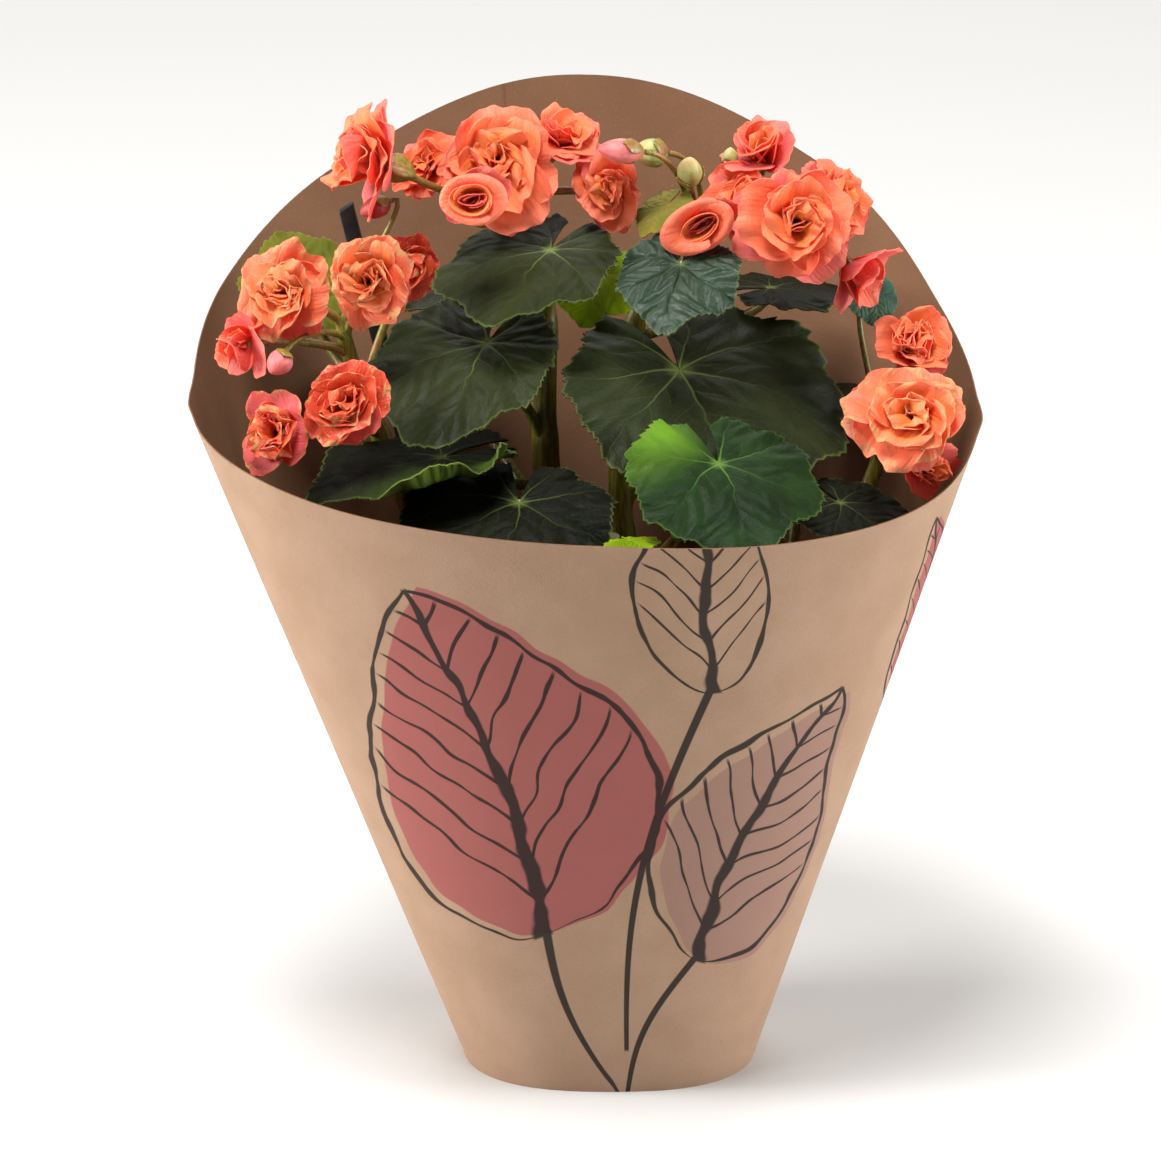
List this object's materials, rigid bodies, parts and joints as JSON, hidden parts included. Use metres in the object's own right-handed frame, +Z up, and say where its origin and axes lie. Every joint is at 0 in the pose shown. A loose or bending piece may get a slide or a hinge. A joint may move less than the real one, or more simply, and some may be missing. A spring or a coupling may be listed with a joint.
{
  "type": "potted begonia",
  "caption": "Double-flowered coral begonia in a grower's pot, standing in a flared, slant-rimmed brown kraft paper sleeve with a printed leaf pattern.",
  "frame": {"origin": "centre of the underside of the pot's base, on the surface that the object stands on", "axes": "+Z up; -Y towards the low front of the sleeve's rim, so that the high back of the rim is at +Y; +X to the right seen from the front"},
  "size_m": [0.2887, 0.2383, 0.368],
  "materials": {
    "kraft_paper": "matte brown kraft with fine fibres and a printed leaf pattern",
    "pot_plastic": "thin moulded terracotta-coloured grower's pot",
    "potting_soil": "crumbly dark peat",
    "stake_plastic": "plain black stick",
    "stem": "fleshy olive green, slightly shiny",
    "leaf": "dark grey-green, satin, paler veins",
    "young_leaf": "yellow-green, thin, light shines through",
    "petal": "coral orange, soft sheen, pink towards the edges",
    "pink_bud": "pink, soft sheen",
    "green_bud": "pale green, soft sheen"
  },
  "bodies": {
    "root": {"bloom_01": "petal", "bloom_02": "petal", "bloom_03": "petal", "bloom_04": "petal", "bloom_05": "petal", "bloom_06": "petal", "bloom_07": "petal", "bloom_08": "petal", "bloom_09": "petal", "bloom_10": "petal", "bloom_11": "petal", "bloom_12": "petal", "bloom_16": "petal", "bloom_17": "petal", "bloom_18": "petal", "bloom_19": "petal", "bloom_20": "petal", "bloom_21": "petal", "bloom_22": "petal", "bloom_23": "petal", "bloom_27": "petal", "bud_dark": "petal", "bud_left": "pink_bud", "bud_pale": "green_bud", "bud_pink": "pink_bud", "bud_round": "green_bud", "bud_tipped": "green_bud", "leaf_back_left": "leaf", "leaf_behind_left": "leaf", "leaf_behind_right": "leaf", "leaf_big_right": "leaf", "leaf_bract": "young_leaf", "leaf_crinkled": "leaf", "leaf_front": "leaf", "leaf_front_right": "leaf", "leaf_left": "leaf", "leaf_low_left": "leaf", "leaf_low_right": "leaf", "leaf_rear_left": "leaf", "leaf_rear_middle": "leaf", "leaf_rear_right": "leaf", "leaf_rim": "young_leaf", "leaf_upper_middle": "leaf", "leaf_young_middle": "young_leaf", "leaf_young_right": "young_leaf", "pot": "pot_plastic", "sleeve": "kraft_paper", "soil": "potting_soil", "stem_back": "stem", "stem_front": "stem", "stem_left": "stem", "stem_middle": "stem", "stem_right": "stem", "support_stake": "stake_plastic"}
  },
  "joints": []
}
